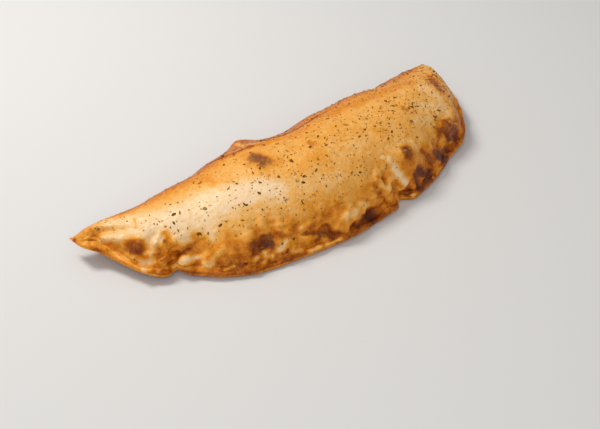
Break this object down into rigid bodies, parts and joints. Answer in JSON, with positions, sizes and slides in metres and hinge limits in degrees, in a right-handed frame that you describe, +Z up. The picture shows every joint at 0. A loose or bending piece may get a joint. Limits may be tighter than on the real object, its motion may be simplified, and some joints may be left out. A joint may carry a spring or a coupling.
{
  "type": "calzone",
  "caption": "Whole baked calzone: a half moon of folded, puffed dough with a pinched and sealed curved edge, curled ends, browned blisters and dried herbs on top.",
  "frame": {"origin": "middle of the bounding box, on the surface that the food lies on", "axes": "+X from the pointed end to the blunt end, +Y from the sealed curved edge to the folded back, +Z up"},
  "size_m": [0.321, 0.1122, 0.0465],
  "materials": {
    "crust": "baked wheat crust, pale cream to golden and browned, slightly glossy",
    "herbs": "dried oregano, dark olive and tan"
  },
  "bodies": {
    "root": {"calzone": "crust"}
  },
  "joints": []
}
